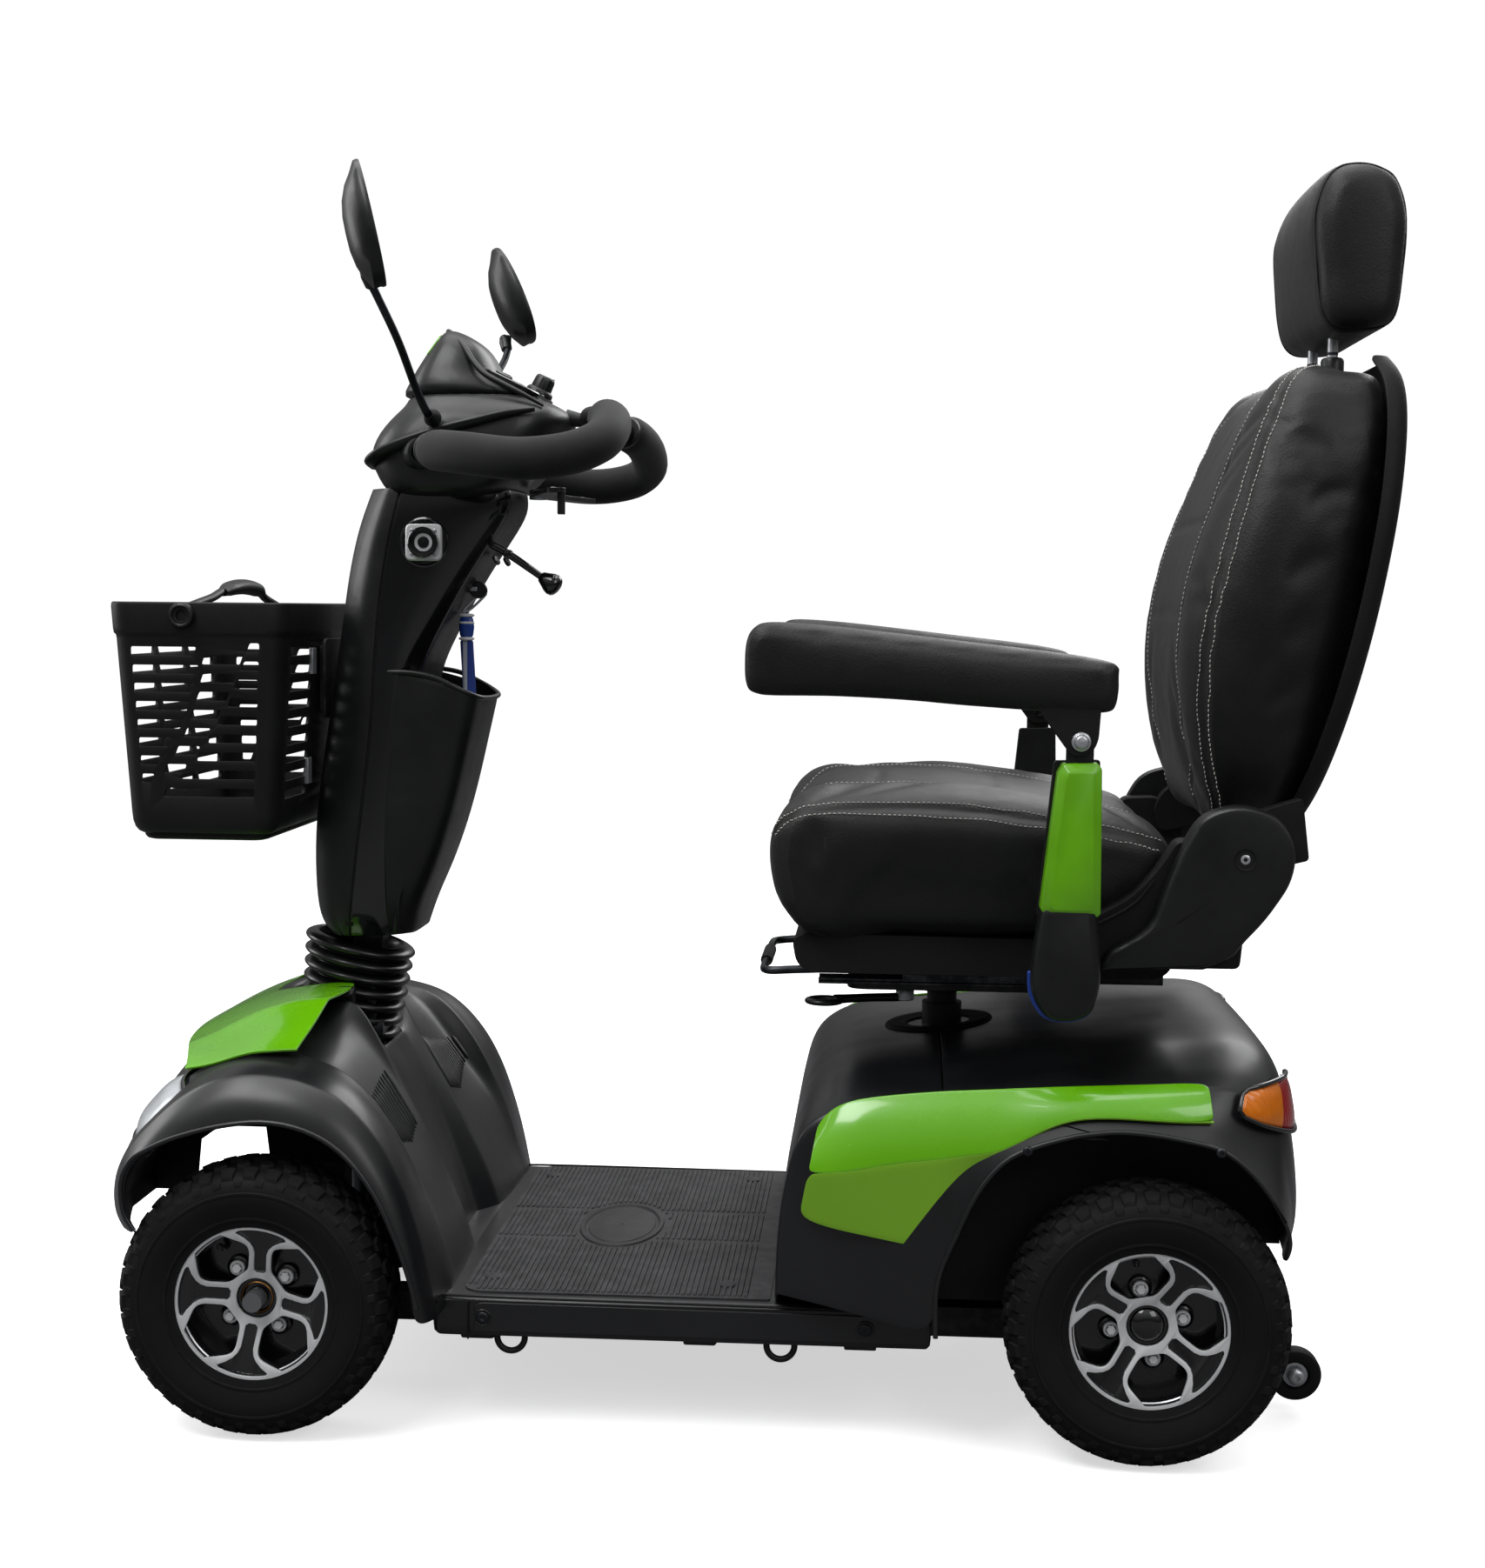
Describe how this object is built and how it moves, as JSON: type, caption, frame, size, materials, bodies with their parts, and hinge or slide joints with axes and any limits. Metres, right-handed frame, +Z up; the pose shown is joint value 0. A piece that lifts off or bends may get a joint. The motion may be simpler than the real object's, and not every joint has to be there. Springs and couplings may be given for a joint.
{
  "type": "mobility scooter",
  "caption": "Four-wheel electric mobility scooter with tilting tiller, loop handlebar, front basket, swivelling armchair seat, headrest, lime green panels and rear anti-tip rollers.",
  "frame": {"origin": "on the floor, below the centre of the overall bounding box", "axes": "+X forwards, +Y to the rider's left, +Z up; the mirrored running gear is symmetric across Y"},
  "size_m": [1.222, 0.602, 1.194],
  "materials": {
    "frame_black": "satin",
    "plastic_black": "satin",
    "plastic_soft_black": "matt",
    "rubber_mat": "matt",
    "lime_green": "gloss",
    "lamp_clear": "gloss",
    "lamp_amber": "gloss",
    "battery": "satin",
    "aluminium": "machined",
    "steel": "brushed",
    "tyre": "matt",
    "alloy_rim": "machined over black paint",
    "foam_grip": "soft matt",
    "vinyl": "grained satin",
    "display": "gloss",
    "armrest_cover": "black and green gloss"
  },
  "bodies": {
    "chassis": {"chassis_frame": "frame_black", "floor_tray": "plastic_black", "floor_mat": "rubber_mat", "tie_down_rings": "steel", "front_body": "plastic_black", "front_bonnet": "lime_green", "headlight_lenses": "lamp_clear", "rear_body": "plastic_black", "side_panels": "lime_green", "rear_light_lenses": "lamp_amber", "battery_pack": "battery", "motor_transaxle": "aluminium", "motor_controller": "aluminium", "seat_post": "frame_black"},
    "steering_column": {"steering_stem": "frame_black", "steering_bellows": "plastic_soft_black"},
    "stub_axle_left": {"knuckle_left": "frame_black"},
    "stub_axle_right": {"knuckle_right": "frame_black"},
    "track_link": {"track_rod": "steel"},
    "wheel_front_left": {"tyre_front_left": "tyre", "rim_front_left": "alloy_rim"},
    "wheel_front_right": {"tyre_front_right": "tyre", "rim_front_right": "alloy_rim"},
    "wheel_rear_left": {"tyre_rear_left": "tyre", "rim_rear_left": "alloy_rim"},
    "wheel_rear_right": {"tyre_rear_right": "tyre", "rim_rear_right": "alloy_rim"},
    "antitip_left": {"antitip_wheel_left": "plastic_soft_black"},
    "antitip_right": {"antitip_wheel_right": "plastic_soft_black"},
    "tiller": {"tiller_post": "frame_black", "tiller_front_cover": "plastic_black", "tiller_rear_cover": "plastic_black", "dash_housing": "plastic_black", "dash_panel": "display", "handlebar": "frame_black", "hand_grips": "foam_grip", "charging_socket": "steel", "basket_bracket": "frame_black"},
    "throttle": {"throttle_lever": "plastic_soft_black"},
    "lock_lever": {"tiller_lock_lever": "plastic_soft_black"},
    "dial": {"speed_knob": "plastic_soft_black"},
    "key": {"ignition_key": "steel"},
    "horn": {"horn_button": "plastic_soft_black"},
    "mirror_l": {"mirror_left": "plastic_black"},
    "mirror_r": {"mirror_right": "plastic_black"},
    "basket_tub": {"basket": "plastic_soft_black"},
    "basket_bail": {"basket_handle": "plastic_soft_black"},
    "turntable": {"seat_swivel_plate": "frame_black"},
    "swivel_handle": {"swivel_lever": "frame_black"},
    "seat": {"seat_pan": "plastic_black", "seat_cushion": "vinyl"},
    "slide_handle": {"slide_bail": "frame_black"},
    "back": {"backrest_cushion": "vinyl", "backrest_shell": "plastic_black"},
    "head_support": {"headrest": "vinyl"},
    "arm_bracket_l": {"armrest_bracket_left": "armrest_cover"},
    "arm_bracket_r": {"armrest_bracket_right": "armrest_cover"},
    "arm_pad_l": {"armrest_pad_left": "vinyl"},
    "arm_pad_r": {"armrest_pad_right": "vinyl"}
  },
  "joints": [
    {"name": "steer", "type": "hinge", "parent": "chassis", "child": "steering_column", "pos_m": [0.405, 0, 0.3], "axis": [0, 0, 1], "range_deg": [-30, 30]},
    {"name": "kingpin_left", "type": "hinge", "parent": "chassis", "child": "stub_axle_left", "pos_m": [0.442, 0.195, 0.12], "axis": [0, 0, 1], "range_deg": [-30, 30]},
    {"name": "kingpin_right", "type": "hinge", "parent": "chassis", "child": "stub_axle_right", "pos_m": [0.442, -0.195, 0.12], "axis": [0, 0, 1], "range_deg": [-30, 30]},
    {"name": "track_rod_eye", "type": "hinge", "parent": "steering_column", "child": "track_link", "pos_m": [0.345, 0, 0.172], "axis": [0, 0, 1], "range_deg": [-30, 30]},
    {"name": "wheel_spin_front_left", "type": "hinge", "parent": "stub_axle_left", "child": "wheel_front_left", "pos_m": [0.442, 0.254, 0.13], "axis": [0, 1, 0], "continuous": true},
    {"name": "wheel_spin_front_right", "type": "hinge", "parent": "stub_axle_right", "child": "wheel_front_right", "pos_m": [0.442, -0.254, 0.13], "axis": [0, 1, 0], "continuous": true},
    {"name": "wheel_spin_rear_left", "type": "hinge", "parent": "chassis", "child": "wheel_rear_left", "pos_m": [-0.373, 0.254, 0.13], "axis": [0, 1, 0], "continuous": true},
    {"name": "wheel_spin_rear_right", "type": "hinge", "parent": "chassis", "child": "wheel_rear_right", "pos_m": [-0.373, -0.254, 0.13], "axis": [0, 1, 0], "continuous": true},
    {"name": "antitip_spin_left", "type": "hinge", "parent": "chassis", "child": "antitip_left", "pos_m": [-0.533, 0.118, 0.038], "axis": [0, 1, 0], "continuous": true},
    {"name": "antitip_spin_right", "type": "hinge", "parent": "chassis", "child": "antitip_right", "pos_m": [-0.533, -0.118, 0.038], "axis": [0, 1, 0], "continuous": true},
    {"name": "tiller_tilt", "type": "hinge", "parent": "steering_column", "child": "tiller", "pos_m": [0.405, 0, 0.365], "axis": [0, 1, 0], "range_deg": [-12, 8], "deforming": ["steering_bellows"]},
    {"name": "throttle_rock", "type": "hinge", "parent": "tiller", "child": "throttle", "pos_m": [0.225, 0, 0.884], "axis": [0, 0, 1], "range_deg": [-15, 15], "stiffness_Nm_per_rad": 0.5},
    {"name": "tiller_lock_swing", "type": "hinge", "parent": "tiller", "child": "lock_lever", "pos_m": [0.248, 0.04, 0.821], "axis": [0, 1, 0], "range_deg": [-12, 0]},
    {"name": "speed_dial_turn", "type": "hinge", "parent": "tiller", "child": "dial", "pos_m": [0.22551, 0, 0.97991], "axis": [-0.4274, 0, 0.9041], "range_deg": [-135, 135]},
    {"name": "key_turn", "type": "hinge", "parent": "tiller", "child": "key", "pos_m": [0.26813, 0.02, 0.77837], "axis": [-0.8866, 0, -0.4626], "range_deg": [0, 90]},
    {"name": "horn_press", "type": "slide", "parent": "tiller", "child": "horn", "axis": [0.4274, 0, -0.9041], "range_m": [0, 0.0014], "stiffness_N_per_m": 200},
    {"name": "mirror_swivel_left", "type": "hinge", "parent": "tiller", "child": "mirror_l", "pos_m": [0.31, 0.112, 0.95], "axis": [0, 0, 1], "range_deg": [-20, 20]},
    {"name": "mirror_swivel_right", "type": "hinge", "parent": "tiller", "child": "mirror_r", "pos_m": [0.31, -0.112, 0.95], "axis": [0, 0, 1], "range_deg": [-20, 20]},
    {"name": "basket_lift_off", "type": "slide", "parent": "tiller", "child": "basket_tub", "axis": [0, 0, 1], "range_m": [0, 0.06]},
    {"name": "basket_handle_swing", "type": "hinge", "parent": "basket_tub", "child": "basket_bail", "pos_m": [0.537, 0, 0.758], "axis": [0, 1, 0], "range_deg": [-70, 70]},
    {"name": "seat_swivel", "type": "hinge", "parent": "chassis", "child": "turntable", "pos_m": [-0.191, 0, 0.39], "axis": [0, 0, 1], "range_deg": [-90, 90]},
    {"name": "swivel_lever_pull", "type": "hinge", "parent": "turntable", "child": "swivel_handle", "pos_m": [-0.153, 0.06, 0.39], "axis": [0, 0, 1], "range_deg": [-12, 12]},
    {"name": "seat_slide", "type": "slide", "parent": "turntable", "child": "seat", "axis": [1, 0, 0], "range_m": [-0.05, 0.05]},
    {"name": "slide_bail_lift", "type": "hinge", "parent": "seat", "child": "slide_handle", "pos_m": [-0.072, 0, 0.42], "axis": [0, -1, 0], "range_deg": [0, 8]},
    {"name": "backrest_recline", "type": "hinge", "parent": "seat", "child": "back", "pos_m": [-0.451, 0, 0.551], "axis": [0, 1, 0], "range_deg": [-12, 38]},
    {"name": "headrest_height", "type": "slide", "parent": "back", "child": "head_support", "axis": [0, 0, 1], "range_m": [0, 0.06]},
    {"name": "armrest_width_left", "type": "slide", "parent": "seat", "child": "arm_bracket_l", "axis": [0, 1, 0], "range_m": [0, 0.04]},
    {"name": "armrest_width_right", "type": "slide", "parent": "seat", "child": "arm_bracket_r", "axis": [0, -1, 0], "range_m": [0, 0.04]},
    {"name": "armrest_flip_left", "type": "hinge", "parent": "arm_bracket_l", "child": "arm_pad_l", "pos_m": [-0.301, 0.276, 0.656], "axis": [0, -1, 0], "range_deg": [0, 85]},
    {"name": "armrest_flip_right", "type": "hinge", "parent": "arm_bracket_r", "child": "arm_pad_r", "pos_m": [-0.301, -0.276, 0.656], "axis": [0, -1, 0], "range_deg": [0, 85]}
  ],
  "couplings": [
    {"joint": "kingpin_left", "follows": "steer", "ratio": 1},
    {"joint": "kingpin_right", "follows": "steer", "ratio": 1},
    {"joint": "track_rod_eye", "follows": "steer", "ratio": -1}
  ]
}
